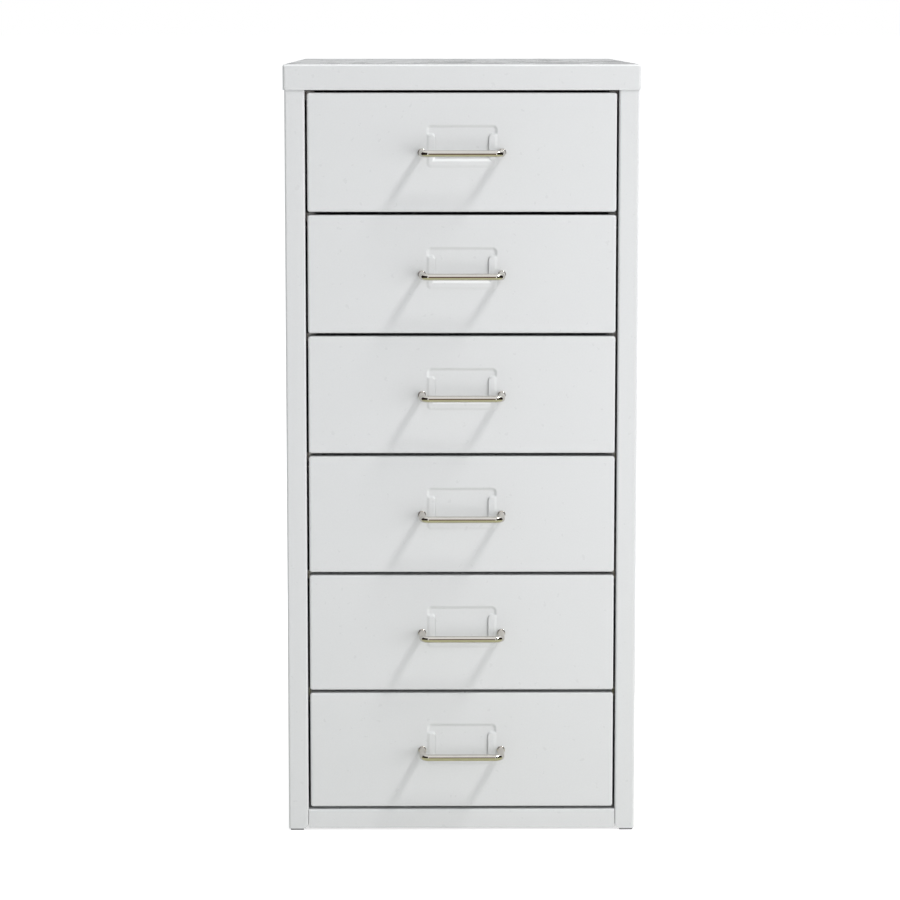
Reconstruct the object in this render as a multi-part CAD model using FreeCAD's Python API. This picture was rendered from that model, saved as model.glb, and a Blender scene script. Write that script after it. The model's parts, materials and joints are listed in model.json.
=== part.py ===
"""Small metal drawer cabinet: a folded sheet-steel case that carries six sliding drawers.

Frame: X to the right, Y to the back, Z up, in millimetres. The origin is at the middle of the
underside of the whole cabinet, handles included. Depths are measured backwards from the front
face of the case, and y_at() turns one into a Y. Drawer 1 is the top one.
"""

import FreeCAD
import Part
import math
import os

Vector = FreeCAD.Vector

# Overall sizes
overall_width = 280.0  # across the top cover
overall_height = 612.0  # floor to the top of the cover
cover_depth = 430.0  # front to back across the cover
drawer_count = 6

# Sheet gauges and the radius inside each bend
case_sheet = 0.7
case_bend = 0.9
cover_sheet = 0.8
cover_bend = 0.9
back_sheet = 0.7
base_sheet = 0.8
base_bend = 0.9
rail_sheet = 0.8
runner_sheet = 0.9
runner_bend = 0.6
front_sheet = 0.7
tray_sheet = 0.6
tray_bend = 0.9
cut_overrun = 2.0  # how far a cutting tool runs past the face it cuts
same_place = 0.05  # places nearer to each other than this count as one

# Top cover
cover_skirt = 20.0
cover_clearance = 0.4  # between the skirt and what it goes over
cover_corner = 2.2  # radius of the four upright corners
cover_hook = 5.0  # lip under the front skirt that hooks behind the front rail
cover_seam = 0.3  # slit where the folded side skirts meet the front and back ones

# Side panels
stile_width = 15.8
stile_return = 18.0
top_flange = 12.0
flange_relief = 2.0  # gap between the top flange and the stiles
stile_drop = 1.2  # how far the stiles and the back panel stay below the cover's bend
post_corner = 4.0  # radius at the inner foot of each post

# Glides under the posts
glide_plate = 1.5
glide_inset = 1.2
glide_clearance = 0.2
glide_plug = 9.0
glide_round = 1.0

# Base pan and the rails under the cover
base_top = 17.3
base_lift = 2.0  # floor to the lower edge of the base pan
base_lip = 7.0
base_clearance = 0.2
rail_depth = 15.0
rail_tab = 14.0
rail_hook_gap = 0.5

# Drawer fronts
front_side_gap = 1.8
front_top_gap = 2.0
front_foot_gap = 2.2
front_gap = 2.5  # between one drawer front and the next
front_depth = 14.0
front_edge = 1.5  # radius round the face
front_corner = 2.0  # radius of the corners, seen from the front
front_back_edge = 1.0
front_side_lip = 16.0
front_end_lip = 12.0

# Label holder pressed into each front
label_width = 56.4
label_above = 21.8  # from the handle line up to the top of the pressing
label_below = 12.5
label_corner = 4.0
label_arm = 7.2
label_mouth = 8.4  # open strip above the arms, where a card goes in
label_raise = 0.5
label_sink = 1.1
label_shear = 0.15
label_crown = 0.45  # radius on the raised rim

# Wire handle
handle_pitch = 63.0
handle_wire = 5.4
handle_standoff = 28.0  # face of the front to the middle of the bar
handle_splay = 0.6  # how far each leg leans in on its way to the bar
handle_bend = 5.0
collar_diameter = 6.3
collar_height = 1.2
collar_round = 0.5
wire_seat = 0.4  # how far inside its collar the wire starts

# Drawer trays
tray_lift = 5.0  # lower edge of the front to the underside of the tray
tray_flange = 9.0
tray_flange_drop = 9.0  # top edge of the front to the top of the tray's flange
tray_side_clearance = 1.5
tray_rear = 402.0
tray_wall_drop = 1.5
tray_back_drop = 7.0
tray_back_inset = 0.5
tray_back_flange = 10.0
access_hole = 12.0
ear_length = 40.0
ear_height = 9.0
ear_corner = 2.0

# Runners
slide_gap = 0.3
runner_height = 11.8
runner_side_gap = 1.5  # between the ledge and the tray wall
runner_lip_setback = 2.0  # how much shorter the upper lip is than the ledge
runner_end_gap = 1.5
stop_width = 10.0
stop_passage = 4.0  # free height under a stop, for the tray's flange

# Fasteners
screw_shank = 3.5
screw_length = 8.0
screw_head = 7.0
screw_head_height = 2.2
low_head_height = 1.1  # of the screws in the side panels, which stay inside the cover's width
screw_round = 0.7
screw_fit = 0.05
screw_recess = 3.6
recess_width = 0.9
recess_share = 0.55  # depth of the recess, of the head's height
handle_screw_shank = 2.5
handle_screw_length = 8.0
handle_screw_hole = 3.2
base_screw_inset = 60.0
back_screw_inset = 60.0
back_screw_rows = 3
back_overlap = 11.0  # how far the back panel lies over each rear stile
cover_screw_inset = 70.0

# Places that follow from the sizes above
body_half = overall_width / 2 - cover_sheet - cover_clearance
body_depth = cover_depth - 2 * (cover_sheet + cover_clearance) - back_sheet
case_top = overall_height - cover_sheet
opening_half = body_half - stile_width
opening_top = overall_height - cover_skirt
web_inside = body_half - case_sheet

fronts_height = opening_top - base_top - front_top_gap - front_foot_gap
front_height = (fronts_height - (drawer_count - 1) * front_gap) / drawer_count
drawer_pitch = front_height + front_gap
front_half = opening_half - front_side_gap

flange_half = opening_half - tray_side_clearance
tray_half = flange_half - tray_flange
tray_flange_top = front_height - tray_flange_drop
tray_flange_under = tray_flange_top - tray_sheet
runner_ledge = tray_flange_under - slide_gap
runner_foot = runner_ledge - runner_sheet
runner_start = stile_return + runner_end_gap
runner_end = tray_rear + slide_gap + runner_sheet
ledge_edge = tray_half + runner_side_gap
ear_front = tray_rear - ear_length
drawer_travel = ear_front - slide_gap - (runner_start + runner_sheet)

handle_half = handle_pitch / 2
handle_reach = handle_standoff + handle_wire / 2
cover_back = body_depth + back_sheet + cover_clearance + cover_sheet
middle_depth = (cover_back + screw_head_height - handle_reach) / 2


def y_at(depth):
    """The Y of a place that lies this far behind the front face of the case."""
    return depth - middle_depth


def drawer_foot(number):
    """Height of the lower edge of a drawer front."""
    return base_top + front_foot_gap + (drawer_count - number) * drawer_pitch


def handle_line(number):
    """Height of the handle's holes."""
    return drawer_foot(number) + front_height / 2


def block(x_low, x_high, near, far, z_low, z_high):
    """A plain box between two X, two depths and two heights."""
    corner = Vector(x_low, y_at(near), z_low)
    return Part.makeBox(x_high - x_low, far - near, z_high - z_low, corner)


def rod(radius, x, near, far, z):
    """A cylinder along Y between two depths."""
    return Part.makeCylinder(radius, far - near, Vector(x, y_at(near), z), Vector(0, 1, 0))


def merged(first, *others):
    """One solid out of several that touch, without the seams between them."""
    return first.fuse(list(others)).removeSplitter()


def mirrored(shape):
    """The same piece for the other side of the cabinet."""
    return shape.mirror(Vector(0, 0, 0), Vector(1, 0, 0))


def flat_edges(shape, axis, value):
    """The edges that lie wholly at one place along an axis."""
    low, high = {"x": ("XMin", "XMax"), "y": ("YMin", "YMax"), "z": ("ZMin", "ZMax")}[axis]
    return [
        edge
        for edge in shape.Edges
        if abs(getattr(edge.BoundBox, low) - value) < same_place
        and abs(getattr(edge.BoundBox, high) - value) < same_place
    ]


def depth_edges(shape):
    """The straight edges that run from front to back."""
    return [
        edge
        for edge in shape.Edges
        if edge.BoundBox.XLength < same_place and edge.BoundBox.ZLength < same_place
    ]


def upright_edges(shape):
    """The straight edges that run up and down."""
    return [
        edge
        for edge in shape.Edges
        if edge.BoundBox.XLength < same_place and edge.BoundBox.YLength < same_place
    ]


def straight_lines(points):
    """Lines between each pair of points, leaving out the pairs that meet."""
    pairs = zip(points[0::2], points[1::2])
    return [Part.makeLine(a, b) for a, b in pairs if a.distanceToPoint(b) > same_place]


def sheet_outline(path, sheet, bend, side):
    """The cut edge of a bent sheet, as edges in a flat plane.

    path is the sheet's outer skin. The metal lies to its left where side is 1 and to its right
    where side is -1. Every corner of the path becomes a bend with this inside radius.
    """
    points = [Vector(u, v, 0) for u, v in path]
    steps = [(b - a).normalize() for a, b in zip(points, points[1:])]
    lefts = [Vector(-step.y, step.x, 0) for step in steps]
    skin = [points[0]]
    inner = [points[0] + lefts[0] * sheet * side]
    skin_arcs = []
    inner_arcs = []
    for index in range(1, len(points) - 1):
        before, after = steps[index - 1], steps[index]
        turn = math.atan2(before.x * after.y - before.y * after.x, before.dot(after))
        way = math.copysign(1, turn)
        half_turn = math.tan(abs(turn) / 2)
        bisector = lefts[index - 1] + lefts[index]
        bisector = bisector * (1 / (1 + lefts[index - 1].dot(lefts[index])))
        for line, arcs, offset in ((skin, skin_arcs, 0), (inner, inner_arcs, sheet * side)):
            radius = bend + sheet if (way == side) == (offset == 0) else bend
            corner = points[index] + bisector * offset
            start = corner - before * radius * half_turn
            end = corner + after * radius * half_turn
            centre = start + lefts[index - 1] * radius * way
            middle = centre + (corner - centre).normalize() * radius
            line.extend([start, end])
            arcs.append((start, middle, end))
    skin.append(points[-1])
    inner.append(points[-1] + lefts[-1] * sheet * side)
    edges = straight_lines(skin) + straight_lines(inner)
    edges += [Part.Arc(*arc).toShape() for arc in skin_arcs + inner_arcs]
    edges += [Part.makeLine(skin[0], inner[0]), Part.makeLine(skin[-1], inner[-1])]
    return edges


def bent_sheet(path, sheet, bend, side, placing, run):
    """A sheet bent along path and running straight for the vector run."""
    wire = Part.Wire(Part.__sortEdges__(sheet_outline(path, sheet, bend, side)))
    face = Part.Face(wire)
    face.Placement = placing
    return face.extrude(run)


def upright_plane(height):
    """Puts an outline of (x, depth) flat at this height."""
    return FreeCAD.Placement(Vector(0, y_at(0), height), FreeCAD.Rotation())


def across_plane(depth):
    """Puts an outline of (x, height) square to the depth."""
    turn = FreeCAD.Rotation(Vector(1, 0, 0), 90)
    return FreeCAD.Placement(Vector(0, y_at(depth), 0), turn)


def lengthwise_plane(x):
    """Puts an outline of (depth, height) square to the width."""
    turn = FreeCAD.Rotation(Vector(0, 1, 0), Vector(0, 0, 1), Vector(1, 0, 0), "XYZ")
    return FreeCAD.Placement(Vector(x, y_at(0), 0), turn)


def screw(shank, length, head_height, place, way):
    """A screw with a cross recess. place is under its head, and way points to its tip."""
    head = Part.makeCylinder(screw_head / 2, head_height)
    head = head.makeFillet(screw_round, flat_edges(head, "z", head_height))
    body = Part.makeCylinder(shank / 2 - screw_fit, length, Vector(0, 0, 0), Vector(0, 0, -1))
    piece = merged(head, body)
    recess_depth = head_height * recess_share
    floor = head_height - recess_depth
    for long_x, long_y in ((screw_recess, recess_width), (recess_width, screw_recess)):
        corner = Vector(-long_x / 2, -long_y / 2, floor)
        piece = piece.cut(Part.makeBox(long_x, long_y, recess_depth + cut_overrun, corner))
    piece.Placement = FreeCAD.Placement(place, FreeCAD.Rotation(Vector(0, 0, -1), way))
    return piece


def post_foot_cutter():
    """What rounds the inner foot of the right-hand posts."""
    low = glide_plate
    waste = block(
        opening_half - cut_overrun,
        opening_half + post_corner,
        -cut_overrun,
        body_depth + cut_overrun,
        low - cut_overrun,
        low + post_corner,
    )
    kept = rod(
        post_corner,
        opening_half + post_corner,
        -cut_overrun,
        body_depth + cut_overrun,
        low + post_corner,
    )
    return waste.cut(kept)


def base_screw_depths():
    return (base_screw_inset, body_depth - base_screw_inset)


def base_screw_height():
    return (base_lift + base_top - base_sheet) / 2


def back_screw_heights():
    """Heights of the back panel's screws, which go into the base pan's rear flange first."""
    first = back_screw_inset
    last = opening_top - back_screw_inset
    step = (last - first) / (back_screw_rows - 1)
    return [first + row * step for row in range(back_screw_rows)]


def back_screw_x():
    return opening_half + back_overlap / 2


def cover_screw_height():
    return opening_top + cover_skirt / 2


def right_side_panel():
    """Web, front and rear stiles with their returns, and a flange at the top for the cover."""
    path = [
        (opening_half, stile_return),
        (opening_half, 0),
        (body_half, 0),
        (body_half, body_depth),
        (opening_half, body_depth),
        (opening_half, body_depth - stile_return),
    ]
    height = case_top - stile_drop - glide_plate
    panel = bent_sheet(
        path, case_sheet, case_bend, 1, upright_plane(glide_plate), Vector(0, 0, height)
    )
    panel = panel.cut(post_foot_cutter())
    flange_near = stile_return + flange_relief
    flange_far = body_depth - flange_near
    bend_foot = case_top - case_sheet - case_bend
    waste = block(
        web_inside - cut_overrun,
        body_half + cut_overrun,
        flange_near,
        flange_far,
        bend_foot,
        case_top + cut_overrun,
    )
    flange = bent_sheet(
        [(body_half, bend_foot), (body_half, case_top), (body_half - top_flange, case_top)],
        case_sheet,
        case_bend,
        1,
        across_plane(flange_near),
        Vector(0, flange_far - flange_near, 0),
    )
    panel = merged(panel.cut(waste), flange)
    for depth in base_screw_depths():
        start = Vector(web_inside - cut_overrun, y_at(depth), base_screw_height())
        length = case_sheet + 2 * cut_overrun
        hole = Part.makeCylinder(screw_shank / 2, length, start, Vector(1, 0, 0))
        panel = panel.cut(hole)
    for height in back_screw_heights():
        near = body_depth - case_sheet - cut_overrun
        far = body_depth + cut_overrun
        panel = panel.cut(rod(screw_shank / 2, back_screw_x(), near, far, height))
    return panel


def back_panel():
    """Flat sheet screwed over the rear stiles, the base pan and the rear rail."""
    half = opening_half + back_overlap
    top = case_top - stile_drop
    panel = block(-half, half, body_depth, body_depth + back_sheet, base_lift, top)
    near = body_depth - cut_overrun
    far = body_depth + back_sheet + cut_overrun
    for side in (-1, 1):
        for height in back_screw_heights():
            panel = panel.cut(rod(screw_shank / 2, side * back_screw_x(), near, far, height))
        x = side * cover_screw_inset
        panel = panel.cut(rod(screw_shank / 2, x, near, far, cover_screw_height()))
        panel = panel.cut(rod(screw_shank / 2, x, near, far, base_screw_height()))
    return panel


def top_cover():
    """Pan with a skirt on all four sides and a hook under the front skirt."""
    half = overall_width / 2
    near = -cover_sheet - cover_clearance
    far = near + cover_depth
    shell = block(-half, half, near, far, opening_top, overall_height)
    shell = shell.makeFillet(cover_corner, upright_edges(shell))
    rim = flat_edges(shell, "z", overall_height)
    shell = shell.makeFillet(cover_bend + cover_sheet, rim)
    inside = block(
        -half + cover_sheet,
        half - cover_sheet,
        near + cover_sheet,
        far - cover_sheet,
        opening_top - cut_overrun,
        case_top,
    )
    inside = inside.makeFillet(cover_corner - cover_sheet, upright_edges(inside))
    inside = inside.makeFillet(cover_bend, flat_edges(inside, "z", case_top))
    shell = shell.cut(inside)
    hook_half = opening_half - base_clearance
    hook = block(
        -hook_half, hook_half, near, cover_hook, opening_top, opening_top + cover_sheet
    )
    shell = merged(shell, hook)
    lower_lip = [
        edge
        for edge in flat_edges(shell, "z", opening_top)
        if abs(edge.BoundBox.YMin - y_at(near)) < same_place
        and abs(edge.BoundBox.YMax - y_at(near)) < same_place
    ]
    shell = shell.makeFillet(cover_sheet / 2, lower_lip)
    seam_top = case_top - cover_bend
    for side in (-1, 1):
        outer = side * (half - cover_sheet - cut_overrun)
        inner = side * (half + cut_overrun)
        for start in (near + cover_corner, far - cover_corner - cover_seam):
            seam = block(
                min(outer, inner),
                max(outer, inner),
                start,
                start + cover_seam,
                opening_top - cut_overrun,
                seam_top,
            )
            shell = shell.cut(seam)
        x = side * cover_screw_inset
        hole_near = far - cover_sheet - cut_overrun
        hole_far = far + cut_overrun
        hole = rod(screw_shank / 2, x, hole_near, hole_far, cover_screw_height())
        shell = shell.cut(hole)
    return shell


def base_shell(grow, top, foot):
    """The base pan's cross-shaped block, drawn in on every side by grow."""
    wide = web_inside - grow
    narrow = opening_half - base_clearance - grow
    notch = stile_return + base_clearance + grow
    middle = block(-wide, wide, notch, body_depth - notch, foot, top)
    through = block(-narrow, narrow, grow, body_depth - grow, foot, top)
    return middle, through


def base_pan():
    """Raised floor of the case. Its front flange is the rail under the lowest drawer."""
    middle, through = base_shell(0, base_top, base_lift)
    ends = [
        edge
        for edge in flat_edges(through, "z", base_top)
        if edge.BoundBox.YLength < base_sheet
    ]
    through = through.makeFillet(base_bend + base_sheet, ends)
    low = base_lift - cut_overrun
    inner_middle, inner_through = base_shell(base_sheet, base_top - base_sheet, low)
    inner_ends = [
        edge
        for edge in flat_edges(inner_through, "z", base_top - base_sheet)
        if edge.BoundBox.YLength < base_sheet
    ]
    inner_through = inner_through.makeFillet(base_bend, inner_ends)
    pan = middle.fuse(through).cut(inner_middle).cut(inner_through)
    lip_half = opening_half - base_clearance
    lip = block(-lip_half, lip_half, 0, base_lip, base_lift, base_lift + base_sheet)
    pan = merged(pan, lip)
    lower_lip = [
        edge
        for edge in flat_edges(pan, "z", base_lift)
        if edge.BoundBox.YMax < y_at(base_sheet / 2)
    ]
    pan = pan.makeFillet(base_sheet / 2, lower_lip)
    for side in (-1, 1):
        for depth in base_screw_depths():
            edge = side * web_inside
            start = Vector(edge - side * (base_sheet + cut_overrun), y_at(depth), base_screw_height())
            length = base_sheet + 2 * cut_overrun
            hole = Part.makeCylinder(screw_shank / 2, length, start, Vector(side, 0, 0))
            pan = pan.cut(hole)
        near = body_depth - base_sheet - cut_overrun
        far = body_depth + cut_overrun
        x = side * cover_screw_inset
        pan = pan.cut(rod(screw_shank / 2, x, near, far, base_screw_height()))
    return pan


def front_rail():
    """Angle that ties the side panels together behind the cover's front skirt."""
    low = opening_top + cover_sheet + rail_hook_gap
    rail = bent_sheet(
        [(0, low), (0, case_top), (rail_depth, case_top)],
        rail_sheet,
        case_bend,
        -1,
        lengthwise_plane(-opening_half),
        Vector(2 * opening_half, 0, 0),
    )
    tab_top = case_top - rail_sheet
    for side in (-1, 1):
        outer = side * opening_half
        inner = outer - side * rail_sheet
        tab = block(
            min(outer, inner), max(outer, inner), rail_sheet, rail_tab, low, tab_top
        )
        rail = merged(rail, tab)
    return rail


def rear_rail():
    """The same angle at the back, with holes for the cover's screws."""
    rail = front_rail()
    rail = rail.mirror(Vector(0, y_at(body_depth / 2), 0), Vector(0, 1, 0))
    near = body_depth - rail_sheet - cut_overrun
    far = body_depth + cut_overrun
    for side in (-1, 1):
        x = side * cover_screw_inset
        rail = rail.cut(rod(screw_shank / 2, x, near, far, cover_screw_height()))
    return rail


def right_front_glide():
    """Plastic plug pushed up into the foot of a post, with a flat sole."""
    sole_in = opening_half + glide_inset
    sole_out = body_half - glide_inset
    sole = block(
        sole_in, sole_out, glide_inset, stile_return - glide_inset, 0, glide_plate
    )
    sole = sole.makeFillet(glide_round, upright_edges(sole))
    plug = block(
        opening_half + case_sheet + glide_clearance,
        web_inside - glide_clearance,
        case_sheet + glide_clearance,
        stile_return - glide_inset,
        glide_plate,
        glide_plate + glide_plug,
    )
    plug = plug.makeFillet(glide_round, upright_edges(plug))
    return merged(sole, plug).cut(post_foot_cutter())


def right_runner(number):
    """C-shaped runner. Its ledge carries the tray's flange and its two stops end the travel."""
    foot = drawer_foot(number) + runner_foot
    top = foot + runner_height
    runner = bent_sheet(
        [
            (ledge_edge, foot),
            (web_inside, foot),
            (web_inside, top),
            (ledge_edge + runner_lip_setback, top),
        ],
        runner_sheet,
        runner_bend,
        1,
        across_plane(runner_start),
        Vector(0, runner_end - runner_start, 0),
    )
    stop_low = foot + runner_sheet + stop_passage
    stop_in = ledge_edge + runner_lip_setback
    for near in (runner_start, runner_end - runner_sheet):
        stop = block(
            stop_in, stop_in + stop_width, near, near + runner_sheet, stop_low, top
        )
        runner = merged(runner, stop)
    return runner


def label_outline(grow, near, far, z):
    """Block of the label holder's outline, grown or shrunk, between two depths."""
    half = label_width / 2 + grow
    plate = block(
        -half, half, near, far, z - label_below - grow, z + label_above + grow
    )
    return plate.makeFillet(label_corner + grow, depth_edges(plate))


def label_parts(z):
    """The hole, the raised rim and the sunk backing of one label holder."""
    hole = label_outline(0, -cut_overrun, front_sheet + cut_overrun, z)
    arm_top = z + label_above - label_mouth
    window_half = label_width / 2 - label_arm
    window_low = z - label_below + label_arm
    far_out = label_width
    above = block(-far_out, far_out, -far_out, far_out, arm_top, arm_top + far_out)
    window = block(
        -window_half, window_half, -far_out, far_out, window_low, arm_top + far_out
    )

    rim = label_outline(0, -label_raise, front_sheet, z)
    rim = rim.makeFillet(label_crown, flat_edges(rim, "y", y_at(-label_raise)))
    inside = label_outline(-front_sheet, front_sheet - label_raise, far_out, z)
    rim = rim.cut(inside).cut(window).cut(above)

    floor = label_sink + front_sheet
    mouth = label_outline(0, 0, floor, z)
    mouth = mouth.cut(label_outline(-front_sheet, -cut_overrun, label_sink, z))
    mouth = mouth.common(above)
    tongue = block(
        -window_half + label_shear,
        window_half - label_shear,
        label_sink,
        floor,
        window_low + label_shear,
        arm_top,
    )
    return hole, rim, mouth, tongue


def drawer_front(number):
    """Folded front: a face with returns and lips all round and a pressed label holder."""
    foot = drawer_foot(number)
    head = foot + front_height
    face = block(-front_half, front_half, 0, front_depth, foot, head)
    face = face.makeFillet(front_corner, depth_edges(face))
    face = face.makeFillet(front_edge, flat_edges(face, "y", y_at(0)))
    face = face.makeFillet(front_back_edge, flat_edges(face, "y", y_at(front_depth)))
    hollow = block(
        -front_half + front_sheet,
        front_half - front_sheet,
        front_sheet,
        front_depth - front_sheet,
        foot + front_sheet,
        head - front_sheet,
    )
    hollow = hollow.makeFillet(front_corner - front_sheet, depth_edges(hollow))
    hollow = hollow.makeFillet(
        front_edge - front_sheet, flat_edges(hollow, "y", y_at(front_sheet))
    )
    mouth = block(
        -front_half + front_side_lip,
        front_half - front_side_lip,
        front_depth / 2,
        front_depth + cut_overrun,
        foot + front_end_lip,
        head - front_end_lip,
    )
    mouth = mouth.makeFillet(front_corner, depth_edges(mouth))
    z = handle_line(number)
    hole, rim, pressed_mouth, tongue = label_parts(z)
    front = face.cut(hollow).cut(mouth).cut(hole)
    front = merged(front, rim, pressed_mouth, tongue)
    for side in (-1, 1):
        far = front_sheet + cut_overrun
        front = front.cut(rod(handle_screw_hole / 2, side * handle_half, -cut_overrun, far, z))
    return front


def tray(number):
    """Floor, sides and inner front of the drawer, with the flanges that slide on the runners."""
    foot = drawer_foot(number) + tray_lift
    under = drawer_foot(number) + tray_flange_under
    top = under + tray_sheet
    trough = bent_sheet(
        [
            (-flange_half, under),
            (-tray_half, under),
            (-tray_half, foot),
            (tray_half, foot),
            (tray_half, under),
            (flange_half, under),
        ],
        tray_sheet,
        tray_bend,
        1,
        across_plane(front_depth),
        Vector(0, tray_rear - front_depth, 0),
    )
    wall_half = tray_half - tray_sheet - tray_bend
    fold = tray_sheet + tray_bend
    waste = block(
        -wall_half,
        wall_half,
        front_depth - cut_overrun,
        front_depth + fold,
        foot - cut_overrun,
        foot + fold,
    )
    wall = bent_sheet(
        [(front_depth, top - tray_wall_drop), (front_depth, foot), (front_depth + fold, foot)],
        tray_sheet,
        tray_bend,
        1,
        lengthwise_plane(-wall_half),
        Vector(2 * wall_half, 0, 0),
    )
    piece = merged(trough.cut(waste), wall)
    for side in (-1, 1):
        near = front_depth - cut_overrun
        far = front_depth + tray_sheet + cut_overrun
        z = handle_line(number)
        piece = piece.cut(rod(access_hole / 2, side * handle_half, near, far, z))
        outer = side * flange_half
        inner = outer - side * tray_sheet
        ear = block(
            min(outer, inner), max(outer, inner), ear_front, tray_rear, under, under + ear_height
        )
        corners = [
            edge
            for edge in ear.Edges
            if edge.BoundBox.YLength < tray_sheet
            and edge.BoundBox.ZLength < tray_sheet
            and edge.BoundBox.ZMin > under + tray_sheet
        ]
        piece = merged(piece, ear.makeFillet(ear_corner, corners))
    return piece


def tray_back(number):
    """Rear wall of the drawer, with flanges welded to the inside of the tray."""
    foot = drawer_foot(number) + tray_lift + tray_sheet
    top = drawer_foot(number) + tray_flange_top - tray_back_drop
    half = tray_half - tray_sheet
    rear = tray_rear - tray_back_inset
    path = [
        (-half, rear - tray_back_flange),
        (-half, rear),
        (half, rear),
        (half, rear - tray_back_flange),
    ]
    wall = bent_sheet(
        path, tray_sheet, tray_bend, -1, upright_plane(foot), Vector(0, 0, top - foot)
    )
    low = foot - cut_overrun
    for side in (-1, 1):
        outer = side * (half + cut_overrun)
        inner = side * (half - tray_bend)
        waste = block(
            min(outer, inner),
            max(outer, inner),
            rear - tray_back_flange - cut_overrun,
            rear + cut_overrun,
            low,
            foot + tray_bend,
        )
        wall = wall.cut(waste)
    return wall


def handle(number):
    """Bent wire pull. Each leg ends in a collar that sits on the drawer front."""
    z = handle_line(number)
    bar_half = handle_half - handle_splay
    route = [
        Vector(-handle_half, y_at(-wire_seat), z),
        Vector(-bar_half, y_at(-handle_standoff), z),
        Vector(bar_half, y_at(-handle_standoff), z),
        Vector(handle_half, y_at(-wire_seat), z),
    ]
    steps = [(b - a).normalize() for a, b in zip(route, route[1:])]
    edges = []
    last = route[0]
    for corner, before, after in zip(route[1:-1], steps, steps[1:]):
        setback = handle_bend * math.tan(before.getAngle(after) / 2)
        start = corner - before * setback
        end = corner + after * setback
        towards = (after - before).normalize()
        reach = handle_bend / math.cos(before.getAngle(after) / 2)
        middle = corner + towards * (reach - handle_bend)
        edges.append(Part.makeLine(last, start))
        edges.append(Part.Arc(start, middle, end).toShape())
        last = end
    edges.append(Part.makeLine(last, route[-1]))
    section = Part.Wire(Part.makeCircle(handle_wire / 2, route[0], steps[0]))
    wire = Part.Wire(edges).makePipeShell([section], True, False)
    piece = wire
    for side in (-1, 1):
        x = side * handle_half
        collar = rod(collar_diameter / 2, x, -collar_height, 0, z)
        rim = flat_edges(collar, "y", y_at(-collar_height))
        piece = piece.fuse(collar.makeFillet(collar_round, rim))
        bore = rod(handle_screw_shank / 2, x, -handle_screw_length, cut_overrun, z)
        piece = piece.cut(bore)
    return piece


def handle_screws(number):
    """The two screws that hold a handle from inside its drawer front."""
    z = handle_line(number)
    length = handle_screw_length + front_sheet - screw_fit
    return Part.makeCompound(
        [
            screw(
                handle_screw_shank,
                length,
                screw_head_height,
                Vector(side * handle_half, y_at(front_sheet), z),
                Vector(0, -1, 0),
            )
            for side in (-1, 1)
        ]
    )


def back_screws():
    """Screws through the back panel into the rear stiles and the base pan."""
    depth = y_at(body_depth + back_sheet)
    places = [
        Vector(side * back_screw_x(), depth, height)
        for side in (-1, 1)
        for height in back_screw_heights()
    ]
    places += [
        Vector(side * cover_screw_inset, depth, base_screw_height()) for side in (-1, 1)
    ]
    forward = Vector(0, -1, 0)
    return Part.makeCompound(
        [
            screw(screw_shank, screw_length, screw_head_height, place, forward)
            for place in places
        ]
    )


def cover_screws():
    """Screws through the cover's rear skirt into the rear rail."""
    places = [
        Vector(side * cover_screw_inset, y_at(cover_back), cover_screw_height())
        for side in (-1, 1)
    ]
    forward = Vector(0, -1, 0)
    return Part.makeCompound(
        [
            screw(screw_shank, screw_length, screw_head_height, place, forward)
            for place in places
        ]
    )


def base_screws():
    """Screws through the side panels into the base pan's side flanges."""
    return Part.makeCompound(
        [
            screw(
                screw_shank,
                screw_length,
                low_head_height,
                Vector(side * body_half, y_at(depth), base_screw_height()),
                Vector(-side, 0, 0),
            )
            for side in (-1, 1)
            for depth in base_screw_depths()
        ]
    )


def case_pieces():
    """Every piece of the fixed case, by name."""
    right_panel = right_side_panel()
    front_glide = right_front_glide()
    rear_glide = front_glide.mirror(Vector(0, y_at(body_depth / 2), 0), Vector(0, 1, 0))
    pieces = {
        "right_side_panel": right_panel,
        "left_side_panel": mirrored(right_panel),
        "back_panel": back_panel(),
        "top_cover": top_cover(),
        "base_pan": base_pan(),
        "front_rail": front_rail(),
        "rear_rail": rear_rail(),
        "glide_front_right": front_glide,
        "glide_front_left": mirrored(front_glide),
        "glide_rear_right": rear_glide,
        "glide_rear_left": mirrored(rear_glide),
        "back_screws": back_screws(),
        "cover_screws": cover_screws(),
        "base_screws": base_screws(),
    }
    for number in range(1, drawer_count + 1):
        runner = right_runner(number)
        pieces[f"runner_right_{number}"] = runner
        pieces[f"runner_left_{number}"] = mirrored(runner)
    return pieces


def drawer_pieces(number):
    """Every piece of one drawer, by name."""
    return {
        f"drawer_{number}_front": drawer_front(number),
        f"drawer_{number}_tray": tray(number),
        f"drawer_{number}_back": tray_back(number),
        f"drawer_{number}_handle": handle(number),
        f"drawer_{number}_handle_screws": handle_screws(number),
    }


def main():
    pieces = case_pieces()
    for number in range(1, drawer_count + 1):
        pieces.update(drawer_pieces(number))
    os.makedirs("parts", exist_ok=True)
    for name, shape in pieces.items():
        shape.exportStep(os.path.join("parts", name + ".step"))
    print(len(pieces), "pieces, drawer travel", round(drawer_travel, 2))


if __name__ == "__main__":
    main()
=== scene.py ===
"""Looks of a small metal drawer cabinet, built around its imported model."""

import json
import math

import bmesh
import bpy
from mathutils import Matrix, Vector

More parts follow.
